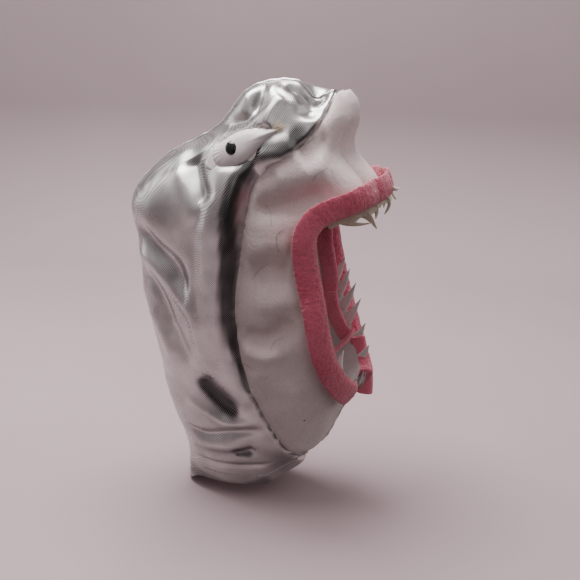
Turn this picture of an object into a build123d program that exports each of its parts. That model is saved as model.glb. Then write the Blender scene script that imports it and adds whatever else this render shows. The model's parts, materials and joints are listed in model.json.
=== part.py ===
"""Shark-head hand puppet, sewn from silver cloth and white felt, standing on its hem with its mouth open.

+Z is up, +X is the way the shark faces, and the origin is on the floor below the middle of its length.
The pattern below measures x from near the middle of the hem, so each piece moves back by HEM_TO_MIDDLE.
The shark's right side is at -Y. Every right-hand piece is made first, and the left one is its mirror image.

The head is one hollow form, lofted through the stations below. Each piece of cloth is a layer of that form,
given by two depths below its surface, cut to a pattern piece drawn in side view (x, z). Three parts of the
head move: the sleeve stands still, the snout turns about the mouth corner, and the chin turns about the foot
of the cheek.
"""

import os
from functools import cache
from math import atan2, cos, degrees, hypot, radians, sin

from build123d import *

# Driving dimensions, in millimetres and degrees

# Stations of the form, hem first: (back x, z), (front x, z), half of the width
STATIONS = [
    ((-22, -8), (20, -8), 16.5),
    ((-22, 0), (24, 0), 17),
    ((-22.5, 18), (32.5, 18), 20),
    ((-27, 34), (43, 33), 23),
    ((-32, 54), (51.5, 54), 25.5),
    ((-37, 80), (61, 79), 27.5),
    ((-40.5, 105), (60, 101), 28),
    ((-40, 127), (58, 106), 28),
    ((-22, 146), (57, 108), 27),
    ((-4, 157), (57.5, 109.5), 25),
    ((8, 169.5), (59, 110.5), 23),
    ((24, 173), (62, 111), 20.5),
    ((38, 171.5), (66, 112.5), 17.5),
    ((46.5, 167), (69, 118), 14),
]
HEM_TO_MIDDLE = 10.74
SNOUT_PIVOT = (32, 124)  # mouth corner
CHIN_PIVOT = (8, 68)  # foot of the cheek, on the seam

# Edge of the mouth, from in front of the upper lip, round the corner, to in front of the lower lip
MOUTH_EDGE = [
    (68, 133), (57, 131.5), (47, 128), (37.5, 123.5), (36.5, 110), (40, 92), (44, 72), (48.5, 58), (58, 52)
]
# Seam between silver and white, from above the nose to below the hem
FACE_SEAM = [
    (41, 178), (38, 163), (27, 150), (14.5, 141), (10.5, 120),
    (6.5, 92), (8, 68), (13, 52), (20, 36), (32, 6),
]
LIP_TIP = (60, 132)  # mouth edge at the tip of the upper lip
# Foot of the puppet: flat at the back and sides, rising to the chin in front
FOOT = [(13, 0), (24, 5), (32, 15), (44, 22)]

CLOTH = 1.2  # thickness of the outer cloth and of the felt binding
WADDING = 1.6
LINING = 0.8
TOOTH_FELT = 1.0
PLY_GAP = 0.2  # space between neighbouring layers
THREAD = 0.5  # width and thickness of a stitch
STITCH_PITCH = 2.5
STITCH_LENGTH = 1.9

BINDING_WIDTH = 10
STITCH_INSET = 7.5  # from the mouth edge to the stitches in the binding
TOOTH_STRIP = 6
TOOTH_LENGTH = 8
TOOTH_WIDTH = 6
TOOTH_SINK = 1.5  # how far the root of a tooth runs into its strip
MIDDLE_TOOTH_WIDTH = 5.6  # tooth at the tip of the upper lip
HEM_STITCH_HEIGHT = 5.2
HEM_FACING_HEIGHT = 7
HEM_FRONT = 12  # the facing and its stitches end here, where the foot starts to rise
HEM_STITCH_START = -21

# First stitch or tooth of each row and the one after its last, counted from the row's start at the upper lip
# or at the back of the hem
HEM_STITCHES = (1, 13)
LIP_STITCHES = (4, 16)
CHEEK_STITCHES = (20, 38)
CHIN_STITCHES = (43, 50)
LIP_TEETH = (2, 5)
CHEEK_TEETH = (7, 14)

EYE_CENTRE = (10.5, 151.5)
EYE_TILT = 24
EYE_LENGTH = 33
EYE_HEIGHT = 13.5
PAD_RIM = 1.6  # width of the felt backing that shows round the padded eye
PAD_HEIGHT = 2.2
PUPIL_RADIUS = 2.9
PUPIL_OFFSET = -4  # from the eye's centre, towards its back corner
PUPIL_HEIGHT = 1.0
TACK_RADIUS = 1.2  # tuft of thread that tacks down the eye's front corner
TACK_OFFSET = 18.2

SEAM_HALF = 0.35  # half the thickness of a centre seam
SEAM_PROUD = 0.7
MIDDLE_GAP = SEAM_HALF + 0.1  # the right-hand pieces start this far from the middle plane

# Directions about the two pivots that bound the moving parts. 0 points forwards and 90 up.
SNOUT_ARC = (4, 156)
SLEEVE_ARC = (167, 318)
CHIN_ARC = (-69, -7)
CHIN_CLEARANCE_ARC = (-76, 8)
PIVOT_CLEARANCE = 4

REACH = 250  # longer than any distance on the head
CURVE_SAMPLES = 40  # points that carry a pattern edge when it is moved sideways

# Depths below the surface of the form at which each layer starts and ends
PADDING_START = CLOTH + PLY_GAP
LINING_START = PADDING_START + WADDING + PLY_GAP
LINING_END = LINING_START + LINING
BINDING_START = -PLY_GAP - CLOTH
BINDING_END = LINING_END + PLY_GAP + CLOTH
TOOTH_START = BINDING_END + PLY_GAP


@cache
def form(depth):
    """Solid right half of the head, with its outer surface moved inwards by depth."""
    with BuildPart() as head:
        for number, (back, front, half_width) in enumerate(STATIONS):
            half_length = hypot(front[0] - back[0], front[1] - back[1]) / 2 - depth
            towards_middle = depth if number == 0 else -depth if number == len(STATIONS) - 1 else 0
            with BuildSketch(station_plane(back, front).offset(towards_middle)):
                with BuildLine():
                    EllipticalCenterArc((0, 0), half_length, half_width - depth, 180, arc_size=180)
                    Line((half_length, 0), (-half_length, 0))
                make_face()
        loft()
    return head.part


def station_plane(back, front):
    """Plane across the head, its x from the back point to the front one and its normal towards the nose."""
    run = front[0] - back[0]
    rise = front[1] - back[1]
    middle = ((back[0] + front[0]) / 2, 0, (back[1] + front[1]) / 2)
    return Plane(origin=middle, x_dir=(run, 0, rise), z_dir=(-rise, 0, run))


def cloth(region, outer_depth, inner_depth):
    """Right half of the cloth between two depths, under a side-view pattern piece.

    A negative depth stands proud of the form.
    """
    with BuildPart() as piece:
        add(form(outer_depth))
        split(bisect_by=Plane.XZ.offset(MIDDLE_GAP), keep=Keep.TOP)
        extrude(region, amount=REACH, mode=Mode.INTERSECT)
        add(form(inner_depth), mode=Mode.SUBTRACT)
    return piece.part


def centre_seam(region):
    """Raised seam on the middle plane, over the part of the head that a side-view region covers."""
    with BuildPart() as seam:
        add(form(-SEAM_PROUD))
        extrude(region, amount=SEAM_HALF, mode=Mode.INTERSECT)
        add(form(CLOTH), mode=Mode.SUBTRACT)
        mirror(about=Plane.XZ)
    return seam.part


def curved_region(points, grow, *closing):
    """Region in side view bounded by a curve and by straight lines through the closing points.

    The curve runs through the given points, then moves outwards by grow.
    """
    with BuildSketch(Plane.XZ) as region:
        with BuildLine():
            edge = Spline(*shifted(points, grow))
            Polyline(edge @ 1, *closing, edge @ 0)
        make_face()
    return region.sketch


def shifted(points, grow):
    """Points spaced evenly along the curve through the given points, moved to its right by grow."""
    with BuildLine(Plane.XZ) as line:
        Spline(*points)
    moved = []
    for number in range(CURVE_SAMPLES + 1):
        spot = line.edge().position_at(number / CURVE_SAMPLES)
        run = line.edge().tangent_at(number / CURVE_SAMPLES)
        moved.append((spot.X + grow * run.Z, spot.Z - grow * run.X))
    return moved


def mouth_region(grow):
    """Everything in front of the mouth edge, with the edge moved into the cloth by grow."""
    return curved_region(MOUTH_EDGE, grow, (REACH, MOUTH_EDGE[-1][1]), (REACH, MOUTH_EDGE[0][1]))


def face_region(grow):
    """Everything in front of the seam between silver and white, moved into the silver by grow."""
    return curved_region(FACE_SEAM, grow, (REACH, FACE_SEAM[-1][1]), (REACH, FACE_SEAM[0][1]))


def straight_region(*corners):
    with BuildSketch(Plane.XZ) as region:
        with BuildLine():
            Polyline(*corners, close=True)
        make_face()
    return region.sketch


def sector(pivot, arc):
    """Pie slice in side view between two directions about a pivot, with its tip cut away."""
    start, end = arc
    with BuildSketch(Plane.XZ) as region:
        with BuildLine():
            far = CenterArc(pivot, REACH, start, end - start)
            near = CenterArc(pivot, PIVOT_CLEARANCE, start, end - start)
            Line(near @ 0, far @ 0)
            Line(near @ 1, far @ 1)
        make_face()
    return region.sketch


def pattern(inside, outside=()):
    """Side-view pattern piece: what all the inside regions share, less every outside region."""
    with BuildSketch(Plane.XZ) as piece:
        add(inside[0])
        for region in inside[1:]:
            add(region, mode=Mode.INTERSECT)
        for region in outside:
            add(region, mode=Mode.SUBTRACT)
    return piece.sketch


def eye_shape(shrink):
    """Almond in side view, pointed at both corners."""
    length = EYE_LENGTH / 2 - 1.5 * shrink
    height = EYE_HEIGHT / 2 - shrink
    with BuildSketch(Plane.XZ) as almond:
        with BuildLine(Location((*EYE_CENTRE, 0), (0, 0, EYE_TILT))):
            ThreePointArc((-length, 0), (0, height), (length, 0))
            ThreePointArc((-length, 0), (0, -height), (length, 0))
        make_face()
    return almond.sketch


def disc(along_eye, radius):
    """Circle in side view, centred on the long axis of the eye."""
    with BuildSketch(Plane.XZ) as circle:
        x = EYE_CENTRE[0] + along_eye * cos(radians(EYE_TILT))
        z = EYE_CENTRE[1] + along_eye * sin(radians(EYE_TILT))
        with Locations((x, z)):
            Circle(radius)
    return circle.sketch


def curve_through(points):
    with BuildLine(Plane.XZ) as line:
        Spline(*points)
    return line.edge()


def along(curve, distance):
    """Place in side view, a distance along a curve, turned to run with it."""
    spot = curve.position_at(distance / curve.length)
    run = curve.tangent_at(distance / curve.length)
    return Location((spot.X, spot.Z, 0), (0, 0, degrees(atan2(run.Z, run.X))))


def stitch_row(curve, first, last):
    """Side-view dashes along a curve, from one stitch number to another counted from its start."""
    with BuildSketch(Plane.XZ) as row:
        with Locations(*[along(curve, number * STITCH_PITCH) for number in range(first, last)]):
            Rectangle(STITCH_LENGTH, THREAD)
    return row.sketch


def tooth_row(curve, first, last):
    """Side-view triangles left of a curve, from one tooth number to another counted from its start."""
    half = TOOTH_WIDTH / 2 - PLY_GAP
    with BuildSketch(Plane.XZ) as row:
        with Locations(*[along(curve, (number + 0.5) * TOOTH_WIDTH) for number in range(first, last)]):
            Polygon((-half, -TOOTH_SINK), (half, -TOOTH_SINK), (0, TOOTH_LENGTH), align=None)
    return row.sketch


def joined(strip, points):
    with BuildSketch(Plane.XZ) as row:
        add(strip)
        add(points)
    return row.sketch


def write(name, part):
    placed = part.moved(Location((-HEM_TO_MIDDLE, 0, 0)))
    placed.label = name
    export_step(placed, "parts/" + name + ".step")


def write_pair(name, right):
    """Writes a right-hand piece and the left-hand piece that mirrors it."""
    with BuildPart() as left:
        add(right)
        mirror(about=Plane.XZ, mode=Mode.REPLACE)
    write(name + "_right", right)
    write(name + "_left", left.part)


os.makedirs("parts", exist_ok=True)

# Regions in side view
mouth = mouth_region(0)
cloth_limit = mouth_region(CLOTH + PLY_GAP)
binding_turn = mouth_region(CLOTH)
binding_limit = mouth_region(BINDING_WIDTH)
padding_limit = mouth_region(BINDING_WIDTH + PLY_GAP)
strip_limit = mouth_region(TOOTH_STRIP)
face = face_region(0)
silver_limit = face_region(PLY_GAP)
above_foot = straight_region((-REACH, 0), *FOOT, (REACH, FOOT[-1][1]), (REACH, REACH), (-REACH, REACH))
facing_top = HEM_FACING_HEIGHT + PLY_GAP
above_facing = straight_region((-REACH, facing_top), (REACH, facing_top), (REACH, REACH), (-REACH, REACH))
facing_band = straight_region(
    (-REACH, PLY_GAP), (HEM_FRONT, PLY_GAP), (HEM_FRONT, HEM_FACING_HEIGHT), (-REACH, HEM_FACING_HEIGHT)
)
chin_clearance = sector(CHIN_PIVOT, CHIN_CLEARANCE_ARC)
moving_parts = {
    "sleeve": pattern([sector(SNOUT_PIVOT, SLEEVE_ARC), above_foot], [chin_clearance]),
    "snout": sector(SNOUT_PIVOT, SNOUT_ARC),
    "chin": pattern([sector(CHIN_PIVOT, CHIN_ARC), above_foot]),
}
silver_names = {"sleeve": "back_panel", "snout": "crown_panel"}
white_names = {"sleeve": "cheek_panel", "snout": "muzzle_panel", "chin": "chin_panel"}
binding_names = {"sleeve": "cheek_binding", "snout": "lip_binding", "chin": "chin_binding"}
silver_seam_names = {"sleeve": "back_seam", "snout": "crown_seam"}
white_seam_names = {"snout": "muzzle_seam", "chin": "chin_seam"}

# Cloth, padding, lining and binding of each moving part
for mover, region in moving_parts.items():
    white = pattern([region, face], [cloth_limit])
    write_pair(white_names[mover], cloth(white, 0, CLOTH))
    if mover in silver_names:
        silver = pattern([region], [silver_limit, cloth_limit])
        write_pair(silver_names[mover], cloth(silver, 0, CLOTH))
        write(silver_seam_names[mover], centre_seam(silver))
    if mover in white_seam_names:
        write(white_seam_names[mover], centre_seam(white))
    padded = pattern([region, above_facing], [padding_limit])
    write_pair(mover + "_padding", cloth(padded, PADDING_START, PADDING_START + WADDING))
    lined = pattern([region, above_facing], [cloth_limit])
    write_pair(mover + "_lining", cloth(lined, LINING_START, LINING_END))

    with BuildPart() as binding:
        add(cloth(pattern([region, binding_limit], [mouth]), BINDING_START, BINDING_END))
        add(cloth(pattern([region], [binding_turn]), -PLY_GAP, LINING_END + PLY_GAP), mode=Mode.SUBTRACT)
    write_pair(binding_names[mover], binding.part)

# Hem: a turned-up facing inside, held by a row of stitches
hem = pattern([moving_parts["sleeve"], facing_band])
write_pair("hem_facing", cloth(hem, PADDING_START, PADDING_START + CLOTH))
hem_row = curve_through([(HEM_STITCH_START, HEM_STITCH_HEIGHT), (HEM_FRONT, HEM_STITCH_HEIGHT)])
write_pair("hem_stitches", cloth(stitch_row(hem_row, *HEM_STITCHES), -PLY_GAP / 2 - THREAD, -PLY_GAP / 2))

# Stitches that hold the binding
inset_edge = curve_through(shifted(MOUTH_EDGE, STITCH_INSET))
stitch_bottom = BINDING_START - PLY_GAP / 2
for name, numbers in (("lip", LIP_STITCHES), ("cheek", CHEEK_STITCHES), ("chin", CHIN_STITCHES)):
    row = stitch_row(inset_edge, *numbers)
    write_pair(name + "_stitches", cloth(row, stitch_bottom - THREAD, stitch_bottom))

# Felt teeth behind the binding, each row cut in one piece with the strip it grows from
mouth_edge = curve_through(MOUTH_EDGE)
tooth_strip = pattern([strip_limit], [mouth])
cheek_strip = pattern([moving_parts["sleeve"], tooth_strip])
cheek_row = joined(cheek_strip, tooth_row(mouth_edge, *CHEEK_TEETH))
write_pair("cheek_teeth", cloth(cheek_row, TOOTH_START, TOOTH_START + TOOTH_FELT))

nose = station_plane(*STATIONS[-1][:2]).offset(-TOOTH_START)
lip_strip = pattern([moving_parts["snout"], tooth_strip])
lip_row = joined(lip_strip, tooth_row(mouth_edge, *LIP_TEETH))
lip_height = nose.to_local_coords(Vector(LIP_TIP[0], 0, LIP_TIP[1])).X
half_tooth = MIDDLE_TOOTH_WIDTH / 2
with BuildPart() as upper_teeth:
    add(cloth(lip_row, TOOTH_START, TOOTH_START + TOOTH_FELT))
    with BuildSketch(nose):
        with Locations((lip_height, -MIDDLE_GAP - TOOTH_WIDTH / 2)):
            Polygon((-TOOTH_SINK, -half_tooth), (-TOOTH_SINK, half_tooth), (TOOTH_LENGTH, 0), align=None)
    extrude(amount=-TOOTH_FELT)
write_pair("upper_teeth", upper_teeth.part)

# Eye: felt backing, padded satin almond, glossy pupil, and the thread that tacks down its front corner
backing_bottom = -PLY_GAP / 2
backing_top = backing_bottom - CLOTH
pad_bottom = backing_top - PLY_GAP / 2
pad_top = pad_bottom - PAD_HEIGHT
pupil_bottom = pad_top - PLY_GAP / 2
write_pair("eye_backing", cloth(eye_shape(0), backing_top, backing_bottom))
write_pair("eye_pad", cloth(eye_shape(PAD_RIM), pad_top, pad_bottom))
write_pair("eye_pupil", cloth(disc(PUPIL_OFFSET, PUPIL_RADIUS), pupil_bottom - PUPIL_HEIGHT, pupil_bottom))
write_pair("eye_tack", cloth(disc(TACK_OFFSET, TACK_RADIUS), backing_top, backing_bottom))
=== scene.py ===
import json
import math
import random

import bmesh
import bpy
import numpy as np
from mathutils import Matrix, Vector
from mathutils.bvhtree import BVHTree


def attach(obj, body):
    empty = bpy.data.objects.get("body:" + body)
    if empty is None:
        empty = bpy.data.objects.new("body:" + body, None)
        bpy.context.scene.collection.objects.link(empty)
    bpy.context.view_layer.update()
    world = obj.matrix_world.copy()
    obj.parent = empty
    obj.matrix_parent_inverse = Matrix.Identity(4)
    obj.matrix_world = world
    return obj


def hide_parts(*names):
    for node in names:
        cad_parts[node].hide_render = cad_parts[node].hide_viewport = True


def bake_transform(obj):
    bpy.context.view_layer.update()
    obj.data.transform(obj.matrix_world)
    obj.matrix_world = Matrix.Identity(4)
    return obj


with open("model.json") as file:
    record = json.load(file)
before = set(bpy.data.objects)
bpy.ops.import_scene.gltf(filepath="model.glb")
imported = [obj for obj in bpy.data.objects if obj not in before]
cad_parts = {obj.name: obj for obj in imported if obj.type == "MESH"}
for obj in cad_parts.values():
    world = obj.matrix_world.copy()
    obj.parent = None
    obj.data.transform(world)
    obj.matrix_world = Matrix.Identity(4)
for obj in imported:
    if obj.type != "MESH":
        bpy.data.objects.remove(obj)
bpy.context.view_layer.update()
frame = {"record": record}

# All shapes are worked out in the puppet's pattern, in millimetres: x forwards from near the middle of the
# hem, y to its left, z up. The frame's origin lies HEM_TO_MIDDLE further forward.
HEM_TO_MIDDLE = 10.74

# Stations of the head, hem first: (back x, z), (front x, z), half width
STATIONS = np.array([
    (-22, 0, 29, 0, 17), (-21.6, 9, 32, 10, 18.5), (-22.4, 20, 35.5, 19, 20.2), (-27.5, 33, 42, 32, 23),
    (-32.3, 52, 51.5, 53, 25.5), (-37, 77, 60, 78, 27.5), (-41, 104, 60, 100, 28), (-41.5, 126, 58, 106, 28),
    (-24, 144, 57, 108, 27), (-6, 153.5, 57.5, 109.5, 25), (5, 167, 59, 110.5, 23), (20, 172, 62, 111, 20.5),
    (35, 170, 62, 112.5, 15.8), (43.5, 168.3, 60, 115, 9.6)], float)
LAST = len(STATIONS) - 1

# Edge of the mouth in side view, from the middle of the chin to the tip of the upper lip
MOUTH = np.array([(58, 44), (52, 48.5), (48.3, 54), (45, 62), (42.8, 70), (41, 80), (39.3, 92), (37.4, 103),
                  (36, 112), (37, 119.3), (42, 123.2), (50, 126.2), (57, 128.2), (66, 130.3)], float)
# Seam between silver and white in side view, from below the hem to above the nose
SEAM = np.array([(34, 8), (27, 19), (19.3, 34), (12.7, 50), (8.3, 64), (6.3, 78), (6.3, 91), (7.8, 103),
                 (10, 117), (11.6, 128), (14, 137), (19, 142), (26, 146), (32, 151.5), (37, 158), (40.3, 166),
                 (42, 178)], float)


def catmull(points, t):
    """Smooth curve through the rows of points, t counting rows."""
    t = np.clip(np.asarray(t, float), 0, len(points) - 1)
    i = np.minimum(t.astype(int), len(points) - 2)
    f = (t - i)[..., None]
    grab = lambda k: points[np.clip(k, 0, len(points) - 1)]
    a, b, c, d = grab(i - 1), grab(i), grab(i + 1), grab(i + 2)
    square, cube = 2 * a - 5 * b + 4 * c - d, 3 * b - a - 3 * c + d
    return 0.5 * (2 * b + (c - a) * f + square * f ** 2 + cube * f ** 3)


def smooth(low, high, x):
    f = np.clip((np.asarray(x, float) - low) / (high - low), 0, 1)
    return f * f * (3 - 2 * f)


def unit(a):
    return a / np.maximum(np.linalg.norm(a, axis=-1, keepdims=True), 1e-9)


def curve(points, count):
    """Smooth curve of count points through a few."""
    return catmull(np.array(points, float), np.linspace(0, len(points) - 1, count))


MOUTH_CURVE, SEAM_CURVE = curve(MOUTH, 400), curve(SEAM, 400)


def base(s, angle):
    """Point of the plain head: s counts stations, angle runs from pi at the back to 0 at the front.
    The right side is -y."""
    row = catmull(STATIONS, s)
    half = np.cos(angle)
    x = (row[..., 0] + row[..., 2]) / 2 + (row[..., 2] - row[..., 0]) / 2 * half
    z = (row[..., 1] + row[..., 3]) / 2 + (row[..., 3] - row[..., 1]) / 2 * half
    y = -row[..., 4] * np.abs(np.sin(angle)) ** 0.92
    return np.stack([x, y, z], -1)


def crossing(s, line):
    """Angle where the row of station s crosses a side-view line, or None. Rows are straight in side view."""
    row = catmull(STATIONS, s)
    b, f = row[0:2], row[2:4]
    run = f - b
    side = (line[:, 0] - b[0]) * run[1] - (line[:, 1] - b[1]) * run[0]
    for i in np.nonzero(side[:-1] * side[1:] <= 0)[0]:
        k = side[i] / (side[i] - side[i + 1] + 1e-12)
        spot = line[i] + k * (line[i + 1] - line[i])
        along = ((spot - b) @ run) / (run @ run)
        if -0.02 <= along <= 1.0:
            return math.acos(np.clip(2 * along - 1, -1, 1))
    return None


ROWS = np.concatenate([np.linspace(0, 4, 62), np.linspace(4, 8, 66)[1:], np.linspace(8, LAST, 70)[1:]])
seam_found = [crossing(s, SEAM_CURVE) for s in ROWS]
edge_found = [crossing(s, MOUTH_CURVE) for s in ROWS]
seam_rows = [i for i, a in enumerate(seam_found) if a is not None]
FIRST_SEAM, LAST_SILVER = seam_rows[0], seam_rows[-1]
FIRST_EDGE = next(i for i, a in enumerate(edge_found) if a is not None)
SEAM_ANGLE = [a if a is not None else (0.0 if i < FIRST_SEAM else math.pi) for i, a in enumerate(seam_found)]
EDGE_ANGLE = [a if a is not None else 0.0 for a in edge_found]
MIDDLE_ROW = int(np.argmin(np.abs(ROWS - 5.35)))  # the row half-way up the cheek, which no joint moves

# Folds and dents: (path, half width, height). A negative height is a dent. Paths of two numbers a point are
# side-view paths. Paths of three run through space.
RIGHT_FOLDS = [
    ([(-5.0, 132), (-8.6, 114), (-8.4, 98), (-7.8, 84)], 2.6, -1.2),  # slack behind the roll
    ([(-13, 144), (-8.5, 137), (-3, 128)], 4.2, -3.0),  # hollow behind the eye
    ([(-19, 140), (-14, 130), (-8, 120)], 5.0, 1.2),
    ([(-1, 156.5), (8, 159), (12, 166), (14, 173)], 2.2, -2.6),  # crease of the crown behind the brow
    ([(5, 165.5), (12, 169.5), (20, 169)], 3.4, 1.2),
    ([(17, 156), (19, 162), (22, 167)], 3.4, 2.4),  # round fold of the brow
    ([(22, -6, 171), (30, -6, 169), (37, -5, 168)], 3.2, -3.2),  # groove between crown and brow
    ([(21, -16, 167.5), (29, -15, 166), (39, -11, 165)], 2.8, 2.0),  # ridge of the brow
    ([(14, -25, 147), (22, -24.5, 148.5), (30, -22, 151)], 6.0, 3.2),  # full lower edge of the brow
    ([(13, -8, 172), (11.7, -12, 168), (10.6, -16, 163.5)], 2.0, -2.8),  # crease left of the brow
    ([(-37, 116), (-29, 109), (-20, 103), (-12, 92)], 3.4, -2.3),  # slanting folds of the back
    ([(-38, 104), (-28, 100), (-18, 90), (-10, 82)], 3.0, 1.7),
    ([(-35, 96), (-27, 88), (-22, 76)], 2.8, -2.2),
    ([(-33, 82), (-27, 71), (-21, 61)], 3.0, 1.9),
    ([(-22, 78), (-16, 67), (-12, 58)], 2.6, -1.1),
    ([(-11, 96), (-10, 82), (-7, 66)], 2.4, 0.9),
    ([(-10, 55), (-4, 49), (5, 40.5)], 4.8, -2.8),  # pocket low on the side
    ([(-16, 58), (-5, 61), (7, 53), (12, 44)], 5.0, 1.7),
    ([(-17, 45), (-9, 40), (2, 36), (14, 38)], 2.6, 1.4),
    ([(-21, 30), (-10, 28.5), (2, 31.5), (15, 34)], 2.0, -1.8),  # crease above the hem
    ([(-18, 22), (-6, 23.5), (6, 25.5)], 3.0, 1.3),
    ([(3, 21), (12, 23.5)], 2.2, -1.6),
    ([(-20, 12), (-8, 11.5), (6, 12.5), (18, 14)], 1.8, -0.7),
    ([(10, 78), (17, 74.5), (24, 78), (28, 84)], 4.2, -4.6),  # dents of the cheek
    ([(9, 71), (17, 68.5), (25, 70)], 3.6, 2.4),
    ([(15, 89), (23, 90), (30, 93)], 5.0, 1.4),
    ([(13, 101), (20, 104), (28, 103)], 5.0, -4.2),
    ([(12, 110), (20, 113), (28, 113)], 4.4, 1.2),
    ([(13, 62), (22, 56), (33, 50)], 6.0, 1.3),
    ([(14, 127), (22, 127.5), (31, 130), (40, 134)], 4.2, -4.2),  # hollow above the lip
    ([(22, 137), (32, 140), (44, 142)], 6.0, 2.6),  # full part of the muzzle
    ([(30, 146), (37, 150), (42, 153)], 5.0, -2.6),  # hollow under the nose
]
# Creases painted dark on the silver, as painted shade and painted dark reflections: (side-view path, half
# width, strength)
PAINTED_CREASE_SHADE = [
    ([(-8, 52), (-3, 47), (3, 42)], 2.8, 1.25), ([(4, 22), (9, 21.5)], 1.4, 0.7),
    ([(13, 146.5), (18, 147.5), (24, 150), (29.5, 154.5)], 2.8, 0.9),
    ([(-12, 143), (-8, 136), (-5, 129)], 3.2, 0.45),
    ([(-36, 112), (-28, 107), (-20, 98)], 2.2, 0.35), ([(-18, 7), (-6, 4.6), (6, 3.6), (15, 7)], 2.4, 0.55),
    ([(10.6, 163.5), (12, 168), (13.5, 172)], 1.0, 0.7), ([(24, 169), (30, 168), (35, 167)], 1.2, 0.5),
]
# Dark strip painted beside the seam, a painted dark reflection: (height, its near edge, its far edge from the
# seam)
SEAM_STRIP = [(50, 0.0, 0.4), (62, 0.0, 1.6), (70, 0.0, 2.8), (84, 0.0, 4.4), (104, 0.4, 5.8),
              (126, 3.2, 9.0), (147, 4.0, 8.6)]
MIDDLE_FOLDS = [  # they cross the middle plane
    ([(-43, -4, 110), (-38, 0, 99)], 6.0, -2.2), ([(-38, 8, 90), (-36, 0, 85)], 5.0, 2.4),
    ([(-31, 0, 63), (-26, -5, 56)], 6.0, -1.3), ([(-20, 0, 146), (-12, -6, 148)], 6.0, -1.0),
]
LEFT_FOLDS = [
    ([(4, 150), (2, 130), (1, 108), (2, 86), (6, 66)], 4.0, -2.2),
    ([(-4, 140), (-7, 118), (-6, 94)], 5.0, 1.6),
    ([(-36, 118), (-24, 112), (-12, 98), (-4, 90)], 3.6, -2.2),
    ([(-36, 98), (-24, 92), (-14, 78), (-6, 70)], 4.0, 1.8),
    ([(-32, 72), (-20, 66), (-8, 52)], 3.2, -2.2),
    ([(-24, 46), (-10, 42), (6, 36)], 3.4, 2.0),
    ([(-21, 29), (-4, 31), (14, 33)], 2.4, -1.6),
    ([(-2, 157), (8, 160), (12, 168)], 2.4, -2.2),
    ([(18, 157), (24, 164)], 3.6, 2.0),
    ([(22, 163), (31, 161.5), (39, 158)], 2.2, -1.5),
    ([(13, 84), (22, 80), (30, 82)], 4.4, -1.8),
    ([(12, 104), (20, 108), (28, 106)], 5.0, 1.2),
    ([(20, 130), (30, 134), (42, 137)], 4.0, -2.0),
]


def path_distance(points, path):
    """Distance of each point from a path, and how far along the path its nearest spot is, 0 to 1."""
    path = curve(path, 24)
    best = np.full(len(points), 1e9)
    where = np.zeros(len(points))
    for i in range(len(path) - 1):
        a, run = path[i], path[i + 1] - path[i]
        k = np.clip(((points - a) @ run) / (run @ run), 0, 1)
        d = np.linalg.norm(points - a - k[:, None] * run, axis=1)
        near = d < best
        best = np.where(near, d, best)
        where = np.where(near, (i + k) / (len(path) - 1), where)
    return best, where


def wobble(p, scale, seed):
    """Smooth pseudo-random value from -1 to 1 at each point."""
    rng = np.random.RandomState(seed)
    total = np.zeros(len(p))
    for _ in range(7):
        d = rng.normal(size=3)
        d /= np.linalg.norm(d)
        total += np.sin((p @ d) * 2 * math.pi / (scale * rng.uniform(0.7, 1.5)) + rng.uniform(0, 6.3))
    return total / 4.0


HEM_LIFT_FRONT, HEM_LIFT_BACK = 12.0, 6.0
NOSE_HOLLOW, NOSE_HOLLOW_AT = 6.5, 147
LEFT_CHEEK_FORWARD = 3.6
ROLL_HEIGHT, SEAM_SINK = 5.4, 0.8
SADDLE_DEPTH, SADDLE_AT = 5.0, 33.5  # dip of the outline between crown and nose
NOSE_BULGE = 4.2
CLOTH, LINING_CLOTH = 0.9, 0.6


def settle(p, side):
    """Lifts the hem where it stands clear of the floor, and brings the left cheek forward at the mouth."""
    p = p.copy()
    x, y, z = p[:, 0], p[:, 1], p[:, 2]
    near_hem = smooth(26, 0, z)
    front = HEM_LIFT_FRONT * smooth(2, 29, x)
    beside = HEM_LIFT_BACK * smooth(-2, 12, -y) * smooth(-26, -12, x)
    p[:, 2] = z + np.maximum(front, beside) * near_hem
    p[:, 0] -= NOSE_HOLLOW * smooth(34, 52, x) * np.exp(-((z - NOSE_HOLLOW_AT) / 9.0) ** 2)
    if side > 0:
        p[:, 0] += LEFT_CHEEK_FORWARD * smooth(24, 42, x) * smooth(92, 62, z) * smooth(36, 50, z)
    return p


def past_seam(view):
    """Side-view distance from the seam, negative on the silver."""
    d, _ = path_distance(view, SEAM)
    seam_x = np.interp(view[:, 1], SEAM_CURVE[:, 1], SEAM_CURVE[:, 0])
    return np.where(view[:, 0] < seam_x, -d, d)


def silver_roll(view, side):
    """The silver stands out over the felt in a long roll and drops steeply to the seam."""
    d = past_seam(view)
    height = ROLL_HEIGHT * smooth(54, 78, view[:, 1]) * smooth(150, 138, view[:, 1])
    roll = smooth(-26, -8.5, d) * smooth(-0.2, -6.4, d)
    felt = SEAM_SINK * smooth(5.0, 0.3, d) * (d >= 0)
    return (height * np.where(d < 0, roll, 0.0) - felt) * (1.0 if side < 0 else 0.5)


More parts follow.
